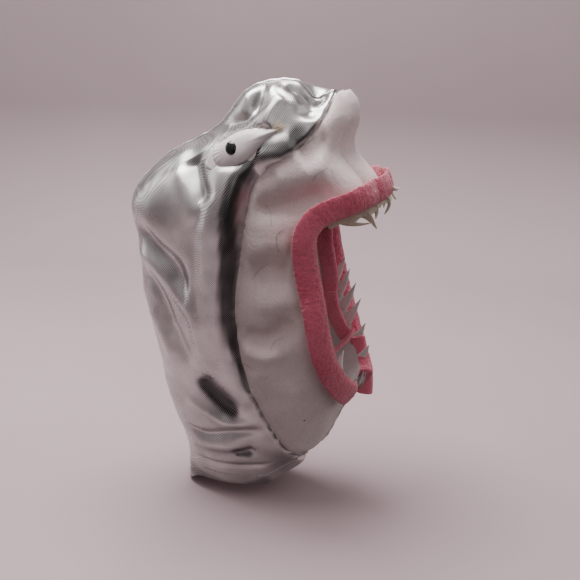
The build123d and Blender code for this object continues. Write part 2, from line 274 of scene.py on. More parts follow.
def sculpted(p, n, side, amount=1.0):
    """Moves points along their normals by the folds of their side (-1 right, 1 left). Side-view folds fade
    towards the middle plane."""
    view = p[:, [0, 2]]
    fade = smooth(1.5, 9, np.abs(p[:, 1])) * smooth(56, 45, p[:, 0])
    hem = smooth(0, 7, p[:, 2])
    lift = np.zeros(len(p))
    for path, width, height in (RIGHT_FOLDS if side < 0 else LEFT_FOLDS):
        flat = len(path[0]) == 2
        d, along = path_distance(view if flat else p, path)
        ends = smooth(-0.02, 0.2, along) * smooth(1.02, 0.8, along)
        lift += height * np.exp(-(d / width) ** 2) * (0.25 + 0.75 * ends) * (fade if flat else 1.0)
    for path, width, height in MIDDLE_FOLDS:
        d, _ = path_distance(p, path)
        lift += height * np.exp(-(d / width) ** 2)
    lift += silver_roll(view, side) * fade
    saddle = np.exp(-((p[:, 0] - SADDLE_AT) / 4.5) ** 2) * smooth(158, 164, p[:, 2]) * smooth(7, 0, p[:, 1])
    lift -= SADDLE_DEPTH * saddle
    soft = 0.35 * wobble(p, 26, 5) + 0.16 * wobble(p, 11, 9)
    return settle(p + n * ((lift + soft * (0.3 + 0.7 * fade)) * hem * amount)[:, None], side)


CAP_START = 0.42  # radians of turn the side wall already has where the nose cap begins


def cap_point(c, angle):
    """Nose beyond the last station: c runs from 0 at that row to 1 on the middle plane."""
    p = base(np.full(np.shape(angle), float(LAST)), angle)
    row = STATIONS[LAST]
    run = np.array([row[2] - row[0], row[3] - row[1]])
    length = np.linalg.norm(run)
    forward = np.array([-run[1], run[0]]) / length
    t = ((p[..., 0] - row[0]) * run[0] + (p[..., 2] - row[1]) * run[1]) / length
    bulge = NOSE_BULGE * smooth(-7, 6, t)
    turn = CAP_START + (math.pi / 2 - CAP_START) * c
    move = (np.sin(turn) - math.sin(CAP_START)) / (1 - math.sin(CAP_START)) * bulge
    p[..., 0] += forward[0] * move
    p[..., 2] += forward[1] * move
    p[..., 1] *= np.cos(turn) / math.cos(CAP_START)
    return p


CAP_ROWS = 14


def rows_of(first, last, lo_angle, hi_angle, columns):
    """Grid of base points for rows first..last, between two angle functions of the row number."""
    grid = []
    for i in range(first, last + 1):
        a = np.linspace(lo_angle(i), hi_angle(i), columns)
        if i < len(ROWS):
            grid.append(base(np.full(columns, ROWS[i]), a))
        else:
            grid.append(cap_point((i - len(ROWS) + 1) / CAP_ROWS, a))
    return np.array(grid)


def to_frame(p):
    out = np.array(p, float).reshape(-1, 3)
    out[:, 0] -= HEM_TO_MIDDLE
    return out * 0.001


def new_mesh(name, verts, faces, material):
    mesh = bpy.data.meshes.new(name)
    mesh.from_pydata([tuple(v) for v in to_frame(verts)], [], [tuple(int(i) for i in f) for f in faces])
    mesh.validate()
    obj = bpy.data.objects.new(name, mesh)
    bpy.context.scene.collection.objects.link(obj)
    mesh.materials.append(material)
    for poly in mesh.polygons:
        poly.use_smooth = True
    return obj


# ---- materials

def feed(g, node, inputs):
    """Sets a node's inputs: a number or tuple as a value, anything else as a link."""
    for key, v in inputs.items():
        if isinstance(v, (int, float, tuple)):
            node.inputs[key].default_value = v
        elif v is not None:
            g.links.new(v, node.inputs[key])
    return node


def add(g, kind, inputs, **settings):
    node = g.nodes.new("ShaderNode" + kind)
    for key, v in settings.items():
        setattr(node, key, v)
    return feed(g, node, inputs)


def node_material(name):
    """New material, its node graph, its shader and the position on the piece."""
    mat = bpy.data.materials.new(name)
    mat.use_nodes = True
    g = mat.node_tree
    return mat, g, g.nodes["Principled BSDF"], add(g, "TexCoord", {}).outputs["Object"]


def noise(g, at, scale, detail=3.0, rough=0.55):
    inputs = {"Vector": at, "Scale": scale, "Detail": detail, "Roughness": rough}
    return add(g, "TexNoise", inputs).outputs["Fac"]


def ramp(g, value, *stops):
    """Colour by value, through (value, colour) stops; a colour may be one grey level."""
    r = add(g, "ValToRGB", {"Fac": value})
    while len(r.color_ramp.elements) < len(stops):
        r.color_ramp.elements.new(0.5)
    for e, (place, colour) in zip(r.color_ramp.elements, stops):
        e.position = place
        e.color = (*(colour if isinstance(colour, tuple) else (colour,) * 3), 1)
    return r.outputs["Color"]


def bump(g, height, strength, distance, previous=None):
    inputs = {"Height": height, "Strength": strength, "Distance": distance, "Normal": previous}
    return add(g, "Bump", inputs).outputs["Normal"]


def maths(g, kind, *values, clamp=False):
    return add(g, "Math", dict(enumerate(values)), operation=kind, use_clamp=clamp).outputs[0]


def mixed(g, a, b, factor=1.0, kind="MIX"):
    """Colour a mixed with, or multiplied by, colour b."""
    mix = add(g, "Mix", {}, data_type="RGBA", blend_type=kind)
    return feed(g, mix, {"Factor": factor, "A": a, "B": b}).outputs["Result"]


def weave(g, at, pitch):
    """Fine knit: two crossed sine ribs, pitch in metres."""
    split = add(g, "SeparateXYZ", {0: at}).outputs
    k = 2 * math.pi / pitch
    u = maths(g, "ADD", split["X"], maths(g, "MULTIPLY", split["Y"], 0.62))
    u = maths(g, "SINE", maths(g, "MULTIPLY", u, k))
    v = maths(g, "SINE", maths(g, "MULTIPLY", split["Z"], k))
    return maths(g, "MULTIPLY", u, v)


SILVER_PITCH = 0.00085
SATIN_PITCH = 0.0004


def silver_material():
    """Metallic cloth: a smooth mirror film over a fine weave, dulled in patches, and darkened by painted
    shade, painted dark reflections and random dark patches.
    """
    mat, g, shader, at = node_material("silver_lame")
    warp = add(g, "TexNoise", {"Vector": at, "Scale": 40, "Detail": 1}).outputs["Color"]
    pulled = add(g, "VectorMath", {0: warp, 1: (0.006, 0.006, 0.006), 2: at}, operation="MULTIPLY_ADD")
    dots = weave(g, pulled.outputs[0], SILVER_PITCH)
    blotch = noise(g, at, 55, 4)
    shade = ramp(g, blotch, (0.3, (0.47, 0.455, 0.455)), (0.55, (0.62, 0.60, 0.60)),
                 (0.8, (0.78, 0.76, 0.755)))
    gaps = ramp(g, maths(g, "MULTIPLY_ADD", dots, 0.5, 0.5), (0.1, 0.42), (0.5, 1))
    woven = mixed(g, shade, gaps, kind="MULTIPLY")
    # Painted shade and painted dark reflections, with random dark patches, read from the vertex values.
    shade_and_patches = add(g, "Attribute", {}, attribute_name="painted_shade_and_patches").outputs["Fac"]
    depth = maths(g, "MULTIPLY", shade_and_patches, maths(g, "MULTIPLY_ADD", dots, -0.34, 0.80), clamp=True)
    sparkle = bump(g, noise(g, at, 1100, 2), 0.05, 0.00006)
    tall = add(g, "Mapping", {"Vector": at, "Scale": (1.0, 1.0, 0.28)}).outputs["Vector"]
    relief = bump(g, noise(g, tall, 150, 3, 0.5), 0.22, 0.0009, bump(g, dots, 0.3, 0.00008, sparkle))
    # The near-black colour mixed in is the painted shade and painted reflection.
    feed(g, shader, {"Base Color": mixed(g, woven, (0.018, 0.020, 0.018, 1), depth), "Metallic": 0.93,
                     "Roughness": maths(g, "MULTIPLY_ADD", blotch, 0.12, 0.23), "Normal": relief})
    return mat


def felt_material(name, light, dark, fuzz=0.0006, tint=None, sheen=0.35):
    """Matt felt between two colours; fuzz is the depth of its fibres in metres, tint changes its colour."""
    mat, g, shader, at = node_material(name)
    fibre = noise(g, at, 1300, 5, 0.7)
    both = maths(g, "ADD", maths(g, "MULTIPLY", noise(g, at, 45, 4), 0.55), maths(g, "MULTIPLY", fibre, 0.45))
    colour = ramp(g, both, (0.38, dark), (0.60, light))
    relief = bump(g, noise(g, at, 350, 4, 0.6), 0.35, fuzz * 1.6, bump(g, fibre, 0.6, fuzz))
    feed(g, shader, {"Base Color": tint(g, at, colour) if tint else colour, "Roughness": 0.95,
                     "Sheen Weight": sheen, "Sheen Roughness": 0.6, "Specular IOR Level": 0.2,
                     "Normal": relief})
    return mat


def corner_tint(g, at, colour):
    """Pink dye rubbed into the white felt near the mouth corner."""
    corner = ((26.0 - HEM_TO_MIDDLE) * 0.001, -0.025, 0.119)
    far = add(g, "VectorMath", {0: at, 1: corner}, operation="DISTANCE").outputs["Value"]
    near = maths(g, "SUBTRACT", 1.0, maths(g, "MULTIPLY", far, 95.0), clamp=True)
    return mixed(g, colour, (0.80, 0.36, 0.42, 1), maths(g, "MULTIPLY", near, 0.30))


def painted_roll_shading(g, at, colour):
    """Felt of the binding: painted shade in the stitched groove, painted highlight on the rolled edge."""
    pale = add(g, "Attribute", {}, attribute_name="roll").outputs["Fac"]
    tone = ramp(g, pale, (0.0, (0.56, 0.36, 0.42)), (0.5, (0.80, 0.68, 0.72)), (1.0, 1))
    return mixed(g, colour, tone, kind="MULTIPLY")


def satin_material():
    mat, g, shader, at = node_material("eye_satin")
    cloudy = noise(g, at, 160, 3)
    relief = bump(g, cloudy, 0.3, 0.0005, bump(g, weave(g, at, SATIN_PITCH), 0.15, 0.00006))
    colour = ramp(g, cloudy, (0.3, (0.60, 0.53, 0.535)), (0.7, (0.73, 0.65, 0.645)))
    feed(g, shader, {"Base Color": colour, "Roughness": 0.38, "Sheen Weight": 0.3, "Anisotropic": 0.4,
                     "Normal": relief})
    return mat


def pupil_material():
    mat, g, shader, at = node_material("pupil_gloss")
    dust = noise(g, at, 2500, 2)
    feed(g, shader, {"Base Color": ramp(g, dust, (0.6, (0.004, 0.004, 0.005)), (0.95, 0.03)),
                     "Roughness": ramp(g, dust, (0.4, 0.08), (0.9, 0.3))})
    return mat


def thread_material(name, light, dark):
    mat, g, shader, at = node_material(name)
    twist = add(g, "TexWave", {"Vector": at, "Scale": 900}, bands_direction="DIAGONAL").outputs["Fac"]
    feed(g, shader, {"Base Color": ramp(g, twist, (0.1, dark), (0.8, light)), "Roughness": 0.75,
                     "Normal": bump(g, twist, 0.4, 0.0001)})
    return mat


def plain_material(name, scale, dark, light, roughness):
    """Dull material between two colours, for what stands round the puppet."""
    mat, g, shader, at = node_material(name)
    feed(g, shader, {"Base Color": ramp(g, noise(g, at, scale), (0.3, dark), (0.7, light)),
                     "Roughness": roughness})
    return mat


SILVER = silver_material()
WHITE = felt_material("white_felt", (0.77, 0.645, 0.635), (0.60, 0.49, 0.485), tint=corner_tint)
# Lining felt painted paler than the outer white felt: painted light inside the mouth, where little light
# reaches.
LINING = felt_material("lining_felt_painted_light", (0.90, 0.80, 0.80), (0.78, 0.68, 0.68), fuzz=0.0004)
PINK = felt_material("pink_felt", (0.93, 0.125, 0.235), (0.50, 0.035, 0.085), fuzz=0.0012, sheen=0.4)
BINDING_FELT = felt_material("binding_felt", (1.0, 0.21, 0.33), (0.62, 0.06, 0.13), fuzz=0.0018,
                             tint=painted_roll_shading, sheen=0.5)
# The pink felt painted brighter for the far side of the mouth: painted light where little light reaches.
PINK_PAINTED_LIT = felt_material("far_pink_felt_painted_lit", (1.0, 0.26, 0.37), (0.70, 0.11, 0.19), fuzz=0.0010, sheen=0.5)
TOOTH = felt_material("tooth_felt", (0.97, 0.92, 0.90), (0.80, 0.74, 0.72), fuzz=0.0004)
LIMP_TOOTH = felt_material("limp_tooth_felt", (0.80, 0.74, 0.62), (0.58, 0.50, 0.36), fuzz=0.0005)
RIM_FELT = felt_material("eye_rim_felt", (0.82, 0.76, 0.74), (0.68, 0.61, 0.60), fuzz=0.0003)
SATIN = satin_material()
PUPIL = pupil_material()
PALE_THREAD = thread_material("pale_thread", (0.60, 0.57, 0.55), (0.25, 0.23, 0.22))
PINK_THREAD = thread_material("pink_thread", (0.55, 0.05, 0.12), (0.30, 0.02, 0.06))
TAN_THREAD = thread_material("tan_thread", (0.72, 0.62, 0.48), (0.40, 0.31, 0.20))
DARK_HAIR = thread_material("dark_lint", (0.10, 0.07, 0.05), (0.03, 0.02, 0.02))


# ---- transform baking


def bend(obj):
    """Bakes obj's transform into its mesh and reads its vertex positions."""
    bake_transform(obj)
    co = np.empty(len(obj.data.vertices) * 3)
    obj.data.vertices.foreach_get("co", co)


# ---- cloth shells

def quads(rows, columns, closed=False, flip=False, start=0):
    """Faces between rows of points, each row closed round or open."""
    faces = []
    for i in range(rows - 1):
        for j in range(columns if closed else columns - 1):
            a, b = (start + i * columns + k for k in (j, (j + 1) % columns))
            quad = (a, b, b + columns, a + columns)
            faces.append(quad[::-1] if flip else quad)
    return faces


def both_halves(first, last, lo, hi, columns, depth=0.0, amount=1.0, wander=None):
    """Vertices and faces of the right and left halves of a region of the head, moved in by depth."""
    right = rows_of(first, last, lo, hi, columns)
    out = -unit(np.cross(np.gradient(right, axis=0), np.gradient(right, axis=1)))
    out[np.abs(right[..., 1]) < 1e-4, 1] = 0
    away = right - np.array([8.0, 0, 0])
    away[..., 2] = 0
    # On the middle plane of the nose cap the normal is all sideways, so its points move away from the hand
    out = np.where(np.linalg.norm(out, axis=2, keepdims=True) > 0.2, unit(out), unit(away))
    verts, faces = [], []
    for side in (-1, 1):
        flat, fn = (a.reshape(-1, 3) * (1, -side, 1) for a in (right, out))
        moved = sculpted(flat, fn, side, amount)
        seam, _ = path_distance(moved[:, [0, 2]], SEAM)
        moved = moved - fn * (1.1 * np.exp(-(seam / 0.9) ** 2))[:, None] - fn * depth
        if wander is not None:
            moved = moved + fn * wander(moved)[:, None]
        faces += quads(right.shape[0], columns, flip=side < 0, start=len(verts))
        verts += list(moved)
    return np.array(verts), faces


def tidy_mesh(obj, distance=0.00003):
    bm = bmesh.new()
    bm.from_mesh(obj.data)
    bmesh.ops.remove_doubles(bm, verts=bm.verts, dist=distance)
    bmesh.ops.dissolve_degenerate(bm, edges=bm.edges, dist=distance * 0.5)
    bmesh.ops.recalc_face_normals(bm, faces=bm.faces)
    bm.to_mesh(obj.data)
    bm.free()


def round_off(obj, levels):
    sub = obj.modifiers.new("round", "SUBSURF")
    sub.levels = sub.render_levels = levels


def set_values(obj, name, values):
    """Gives each vertex a value that a material reads by name."""
    values = np.asarray(values, dtype=np.float32)
    obj.data.attributes.new(name, "FLOAT", "POINT").data.foreach_set("value", values)


def thicken(obj, mm, levels):
    """Cloth thickness going inwards; smoothing follows unless levels is 0."""
    solid = obj.modifiers.new("thickness", "SOLIDIFY")
    solid.thickness = mm * 0.001
    solid.offset = -1
    solid.use_rim = False
    if levels:
        round_off(obj, levels)


def last_known(table):
    """Angle of each row, the last one repeated over the nose cap."""
    return lambda i: table[min(i, len(table) - 1)]


def back(i):
    return math.pi


TOP_ROW = len(ROWS) - 1 + CAP_ROWS
SILVER_COLUMNS, FACE_COLUMNS, LINING_COLUMNS = 62, 46, 60
LINING_DEPTH = 3.2
LINING_FOLDS = 0.55  # how much of the outer folds the lining follows
LINING_FROM = 8  # its first row, clear of the hem
seam, edge = last_known(SEAM_ANGLE), last_known(EDGE_ANGLE)

silver_v, silver_f = both_halves(0, LAST_SILVER + 1, back, seam, SILVER_COLUMNS)
silver = new_mesh("silver_shell", silver_v, silver_f, SILVER)
upper_v, upper_f = both_halves(MIDDLE_ROW, TOP_ROW, seam, edge, FACE_COLUMNS)
upper = new_mesh("white_upper_face", upper_v, upper_f, WHITE)
lower_v, lower_f = both_halves(FIRST_SEAM - 1, MIDDLE_ROW, seam, edge, FACE_COLUMNS)
lower = new_mesh("white_chin_face", lower_v, lower_f, WHITE)


def silver_shade_and_patches(spots):
    """How dark the silver is painted at each point, 0 to 1.3: painted shade and painted dark reflections
    along creases and beside the seam on the right side, painted shade towards the bottom, and random dark
    patches.
    """
    height = spots[:, 2]
    dark = np.zeros(len(spots))
    for path, width, amount in PAINTED_CREASE_SHADE:
        distance, _ = path_distance(spots[:, [0, 2]], path)
        dark = np.maximum(dark, amount * smooth(width * 1.7, width * 0.6, distance))
    from_seam, _ = path_distance(spots[:, [0, 2]], SEAM)
    heights, near, far = zip(*SEAM_STRIP)
    near, far = np.interp(height, heights, near), np.interp(height, heights, far)
    ends = smooth(52, 62, height) * smooth(149, 143, height)
    across = smooth(near - 0.8, near + 0.5, from_seam) * smooth(far + 0.9, far - 0.5, from_seam)
    # The crease and seam darkening is painted shade and painted reflection, kept to the right side.
    dark = np.maximum(dark, across * ends) * smooth(-3, -8, spots[:, 1])
    dark += 0.24 * smooth(0.15, 0.75, wobble(spots, 24, 31)) + 0.10 * smooth(0.2, 0.7, wobble(spots, 9, 37))
    # Painted shade: darker towards the bottom.
    dark += 0.14 * smooth(70, 30, height) + 0.14 * smooth(14, 6, height)
    return np.clip(dark, 0, 1.3)


tidy_mesh(silver)
spots = np.array([v.co for v in silver.data.vertices]) * 1000 + (HEM_TO_MIDDLE, 0, 0)
# Paints shade and dark reflections, with random dark patches, into the silver.
set_values(silver, "painted_shade_and_patches", silver_shade_and_patches(spots))
for obj in (silver, upper, lower):
    tidy_mesh(obj)
    thicken(obj, CLOTH, 1)


def ripple(p):
    return 0.5 * wobble(p, 15, 21)


linings = []
for name, first, last in (("lining_upper", MIDDLE_ROW, TOP_ROW), ("lining_lower", LINING_FROM, MIDDLE_ROW)):
    verts, faces = both_halves(first, last, back, edge, LINING_COLUMNS, LINING_DEPTH, LINING_FOLDS, ripple)
    obj = new_mesh(name, verts, faces, LINING)
    tidy_mesh(obj)
    thicken(obj, LINING_CLOTH, 0)
    linings.append(obj)
upper_lining, lower_lining = linings


# ---- binding round the mouth

def half_of(verts, columns, side):
    """The vertices of one side of a shell, by row and column."""
    return verts.reshape(2, -1, columns, 3)[0 if side < 0 else 1]


def edge_line(verts, side):
    """Points along the mouth edge of one half of a face shell, with the ways out of and into the cloth."""
    half = half_of(verts, FACE_COLUMNS, side)
    line = half[:, -1]
    into = half[:, -3] - half[:, -1]
    return line, np.cross(into, np.gradient(line, axis=0)) * -side, into


def lengths(line):
    """How far along a line each of its points is."""
    return np.concatenate([[0], np.cumsum(np.linalg.norm(np.diff(line, axis=0), axis=1))])


def picker(s, t):
    """Function that reads rows of points, known at lengths s, at lengths t."""
    return lambda a: np.stack([np.interp(t, s, a[:, k]) for k in range(3)], -1)


def resample(line, extras, spacing):
    """Points spaced evenly along a line, with its extras at the same places."""
    seg = np.linalg.norm(np.diff(line, axis=0), axis=1)
    keep = np.concatenate([[True], seg > 0.02])
    line = line[keep]
    extras = [e[keep] for e in extras]
    s = lengths(line)
    pick = picker(s, np.linspace(0, s[-1], max(4, int(s[-1] / spacing))))
    return pick(line), [pick(e) for e in extras]


def soften(a, times):
    for _ in range(times):
        a = np.concatenate([a[:1], (a[:-2] + 2 * a[1:-1] + a[2:]) / 4, a[-1:]])
    return a


FIRST_EDGE_ROW = max(FIRST_EDGE - (FIRST_SEAM - 1), 0)  # row of the lower face where the mouth begins
EDGE_SPACING = 0.8


def edge_frames(side):
    """Whole mouth edge of one side, from chin to nose, with directions into the cloth and out of it."""
    low, high = edge_line(lower_v, side), edge_line(upper_v, side)
    line, n, into = (np.concatenate([a[FIRST_EDGE_ROW:], b[1:]]) for a, b in zip(low, high))
    line, (n, into) = resample(line, [unit(n), unit(into)], EDGE_SPACING)
    line = soften(line, 4)
    run = unit(np.gradient(line, axis=0))
    n = unit(soften(unit(n), 12))
    n = unit(n - run * np.sum(n * run, axis=1, keepdims=True))
    b = np.cross(run, n)
    b = b * np.sign(np.sum(b * into, axis=1, keepdims=True))
    return line, unit(soften(b, 6)), n


def join(parts):
    verts, faces = [], []
    for v, f in parts:
        faces += [tuple(i + len(verts) for i in face) for face in f]
        verts += list(v)
    return verts, faces


cloth_v, cloth_f = join([(silver_v, silver_f), (upper_v, upper_f), (lower_v, lower_f)])
TREE = BVHTree.FromPolygons([Vector(p) for p in cloth_v], cloth_f)


def on_cloth(point, outward, offset):
    """Nearest place on the outer cloth, lifted along the outward direction by offset."""
    spot, normal, _, _ = TREE.find_nearest(Vector(point))
    if normal.dot(Vector(outward)) < 0:
        normal = -normal
    way = (normal + Vector(outward) * 0.7).normalized()
    return np.array(spot) + np.array(way) * offset


def right_cloth(x, z):
    """Place on the right side of the cloth at a side-view point."""
    return np.array(TREE.ray_cast(Vector((x, -80, z)), Vector((0, 1, 0)))[0])


# Cross-section of the binding from its outer ply round the edge to its inner ply:
# (distance in from the edge, height, how pale it is painted: painted shade in the groove, painted highlight
# on the roll)
BINDING_OUT = [(7.0, 0.1, 0.3), (7.0, 1.1, 0.45), (6.3, 1.6, 0.5), (5.2, 0.5, 0.0), (3.9, 2.0, 0.5),
               (2.2, 2.5, 1.0), (0.5, 2.2, 1.0)]
BINDING_REST = [(-0.7, 1.1, 0.9), (-1.35, 0.1, 0.8), (-1.5, -1.2, 0.6), (-1.2, -2.6, 0.5), (-0.3, -3.7, 0.5),
                (1.2, -4.4, 0.5), (4.2, -4.8, 0.5), (8.6, -4.7, 0.5), (8.7, -3.9, 0.5), (4.0, -3.4, 0.5),
                (0.4, -2.4, 0.5), (0.2, -0.6, 0.5), (1.4, 0.2, 0.5)]


def binding(name, side, rows):
    """Folded felt strip over some rows of the mouth edge."""
    line, into, out = EDGE[side]
    verts = []
    for i in rows:
        grow = 1 + 0.05 * math.sin(i * 0.7 + side) + 0.04 * math.sin(i * 0.23)
        verts += [on_cloth(line[i] + into[i] * b * grow, out[i], h * grow) for b, h, _ in BINDING_OUT]
        verts += [line[i] + into[i] * b + out[i] * h for b, h, _ in BINDING_REST]
    section = BINDING_OUT + BINDING_REST
    ring = len(section)
    faces = quads(len(rows), ring, closed=True)
    if rows[0] == 0:
        faces.append(tuple(range(ring)))
    if rows[-1] == len(line) - 1:
        faces.append(tuple(range(len(verts) - ring, len(verts)))[::-1])
    obj = new_mesh(name, verts, faces, BINDING_FELT)
    # Painted shade in the groove and painted highlight on the roll, stored as vertex values.
    set_values(obj, "roll", np.tile([pale for _, _, pale in section], len(rows)))
    tidy_mesh(obj, 0.000005)
    round_off(obj, 2)
    fuzz_height = bpy.data.textures.new(name + "_pile", "CLOUDS")
    fuzz_height.noise_scale = 0.0012
    pile = obj.modifiers.new("pile", "DISPLACE")
    pile.texture = fuzz_height
    pile.texture_coords = "LOCAL"
    pile.strength = 0.0006
    pile.mid_level = 0.5
    return obj


SIDES = ((-1, "right"), (1, "left"))
EDGE = {side: edge_frames(side) for side, _ in SIDES}
bindings = {}
split_row = {}
for side, word in SIDES:
    line = EDGE[side][0]
    cheek = half_of(lower_v, FACE_COLUMNS, side)[-1, -1]
    cut = split_row[side] = int(np.argmin(np.linalg.norm(line - cheek, axis=1)))
    bindings["lower_" + word] = binding("chin_binding_" + word + "_felt", side, range(cut + 1))
    bindings["upper_" + word] = binding("lip_binding_" + word + "_felt", side, range(cut, len(line)))


# ---- centre seams, stitches, threads, teeth, eyes

def swept(path, hint, section):
    """Closed form along a path; section(i) gives its outline there as pairs (sideways to hint, up)."""
    run = unit(np.gradient(path, axis=0))
    side = unit(np.cross(run, np.broadcast_to(np.asarray(hint, float), path.shape)))
    up = np.cross(side, run)
    verts = [path[i] + side[i] * a + up[i] * b for i in range(len(path)) for a, b in section(i)]
    n = len(verts) // len(path)
    ends = [tuple(range(n))[::-1], tuple(range(len(verts) - n, len(verts)))]
    return verts, quads(len(path), n, closed=True) + ends


def tube(path, radius, hint=(0.3, 0.2, 1), sides=6):
    path = np.array(path, float)
    radius = np.broadcast_to(radius, (len(path),))
    turn = [2 * math.pi * k / sides for k in range(sides)]
    return swept(path, hint, lambda i: [(radius[i] * math.cos(a), radius[i] * math.sin(a)) for a in turn])


STRIP_OUTLINE = ((-1, 0), (-0.8, 1), (0, 1.1), (0.8, 1), (1, 0), (0.8, -1), (0, -1.1), (-0.8, -1))


def strip(path, width, thick, hint):
    """Flat felt strip along a path, its width across hint."""
    path = np.array(path, float)
    width = np.broadcast_to(width, (len(path),))
    return swept(path, hint, lambda i: [(a * width[i] / 2, b * thick / 2) for a, b in STRIP_OUTLINE])


def piece(name, parts, material, levels=0):
    verts, faces = join(parts)
    obj = new_mesh(name, verts, faces, material)
    tidy_mesh(obj, 0.000001)
    if levels:
        round_off(obj, levels)
    return obj


RIDGE_OUTLINE = ((-1.0, -0.5), (-0.55, 0.35), (-0.2, 1.0), (0.2, 1.0), (0.55, 0.35), (1.0, -0.5))


def ridge(path, outward):
    """Sewn seam standing proud of the cloth along the middle plane."""
    wave = lambda i: 0.75 + 0.15 * math.sin(i * 1.3) + 0.1 * math.sin(i * 0.37)
    path = soften(np.array(path, float), 2)
    return swept(path, outward, lambda i: [(a, b * wave(i)) for a, b in RIDGE_OUTLINE])


# Far side of the mouth: the pleat's upper and lower band, its curl, and the hanging cut end
FAR_STRIPS = [
    ([(33, 14.5, 119), (33.5, 13.5, 113.6), (34.7, 13, 101.5), (36.6, 13, 91), (36.4, 12.5, 83)],
     30, 7.6, 1.8, (0.1, 1, 0.05)),
    ([(36.8, 11, 84), (38.2, 10.5, 77), (41.2, 10.5, 70), (44.5, 10.5, 64.5)], 24, 7.2, 1.6, (0.15, 1, 0.1)),
    ([(47.2, 11, 68.5), (45.8, 9, 65.5), (42.5, 7.5, 61.8), (38.6, 6.5, 58.2)],
     20, 4.4, 1.4, (-0.4, 0.5, 0.7)),
    ([(48.2, 14.5, 64), (50.2, 13.5, 56), (52.2, 12.6, 48), (52.3, 12, 39)], 24, 7.4, 2.8, (0.1, 1, 0.05))]
pleat_strips = [strip(curve(*row[:2]), *row[2:]) for row in FAR_STRIPS]
# The far pleat uses the pink felt painted brighter.
far_pleat = piece("inner_lip_pleat_felt", pleat_strips, PINK_PAINTED_LIT, 1)

back_path = half_of(silver_v, SILVER_COLUMNS, -1)[:, 0]
back_out = unit(np.cross(np.gradient(back_path, axis=0), np.array([0, 1.0, 0])))
back_out *= np.sign(np.sum(back_out * (back_path - np.array([12.0, 0, 90])), axis=1, keepdims=True))
silver_ridge = piece("silver_centre_seam", [ridge(back_path[2:-1], back_out[2:-1])], SILVER, 1)

chin_path = half_of(lower_v, FACE_COLUMNS, -1)[1:max(FIRST_EDGE_ROW, 2), -1]
chin_ridge = piece("chin_centre_seam", [ridge(chin_path, (0.8, 0, -0.5))], WHITE, 1)


STITCH_SHAPE = ((-0.5, -0.25), (-0.38, 0.1), (-0.15, 0.18), (0.15, 0.18), (0.38, 0.1), (0.5, -0.25))


def dash_row(line, out, spacing, length, radius):
    """Stitches along a line of points, each a short thread bowed over the cloth."""
    s = lengths(line)
    along, rise = np.array(STITCH_SHAPE).T
    parts = []
    at = spacing / 2
    while at < s[-1] - spacing / 2:
        pick = picker(s, at + length * along)
        path = pick(line) + unit(pick(out)) * rise[:, None]
        parts.append(tube(path, radius, unit(picker(s, at)(out))))
        at += spacing
    return parts


HEM_STITCH_ROW = int(np.argmin(np.abs(ROWS - 0.62)))
LIP_STITCH_INSET = 5.2
HEM_CENTRE = (2.0, 0, 0)

hem_parts = []
for side, _ in SIDES:
    line = half_of(silver_v, SILVER_COLUMNS, side)[HEM_STITCH_ROW, 1:]
    outward = line - HEM_CENTRE
    outward[:, 2] = 0
    hem_parts += dash_row(line, unit(outward), 2.5, 1.7, 0.24)
hem_stitches = piece("hem_stitch_threads", hem_parts, PALE_THREAD)

mouth_stitches = {}
for side, word in SIDES:
    line, into, out = EDGE[side]
    row = np.array([on_cloth(p + i * LIP_STITCH_INSET, o, 1.0) for p, i, o in zip(line, into, out)])
    cut = split_row[side]
    for part, rows in (("chin", slice(0, cut + 1)), ("lip", slice(cut, None))):
        threads = dash_row(row[rows], out[rows], 3.0, 1.9, 0.20)
        mouth_stitches[part, side] = piece(part + "_stitch_threads_" + word, threads, PINK_THREAD)


def tooth(root, tip, across, width, bow=(0, 0, 0), curl=0.0, thick=0.7):
    """Felt tooth from root to tip; across is the direction its flat side faces."""
    root, tip = np.array(root, float), np.array(tip, float)
    t = np.linspace(0, 1, 9)
    path = root + (tip - root) * t[:, None] + np.array(bow, float) * np.sin(math.pi * t)[:, None]
    path += np.array([1.0, 0.0, 0.6]) * (curl * t ** 4)[:, None]
    widths = width * np.maximum(1 - t ** 1.15, 0.05)
    return strip(path, widths, thick, across)


FAR_TEETH = [((37.5, 17.5, 88), (42.5, 15, 98), (0.1, 1, 0.1), 5.2, (0.4, -0.6, 0)),
             ((38.6, 17.6, 80.5), (44.7, 14, 93.8), (0.1, 1, 0.0), 5.4, (0.6, -0.8, 0)),
             ((40.6, 17.4, 75), (47.4, 14, 87.9), (0.0, 1, 0.1), 5.6, (0.5, -0.5, -0.3)),
             ((42.8, 16.8, 69), (49.6, 14, 81.1), (0.2, 1, 0.0), 5.6, (0.3, -0.7, 0)),
             ((46.0, 15.6, 60.5), (51.9, 13.5, 70.7), (0.1, 1, -0.1), 5.4, (0.5, -0.4, 0)),
             ((49.5, 12.5, 54), (54.0, 11, 62), (0.1, 1, 0.2), 5.0, (0.3, -0.4, 0))]
near_teeth = [((44.5, -10.5, 55.8), (46.2, -8.5, 66), (0.3, 1, 0.1), 5.0, (-0.5, 0.4, 0))]
for z in (64, 71, 78, 85, 92, 99):
    x = float(np.interp(z, MOUTH_CURVE[:, 1], MOUTH_CURVE[:, 0]))
    near_teeth.append(((x - 1.5, -16.0, z), (x - 9.5, -17.5, z + 3.5), (0.2, 1, 0.1), 5.2, (0, 0.8, 0)))

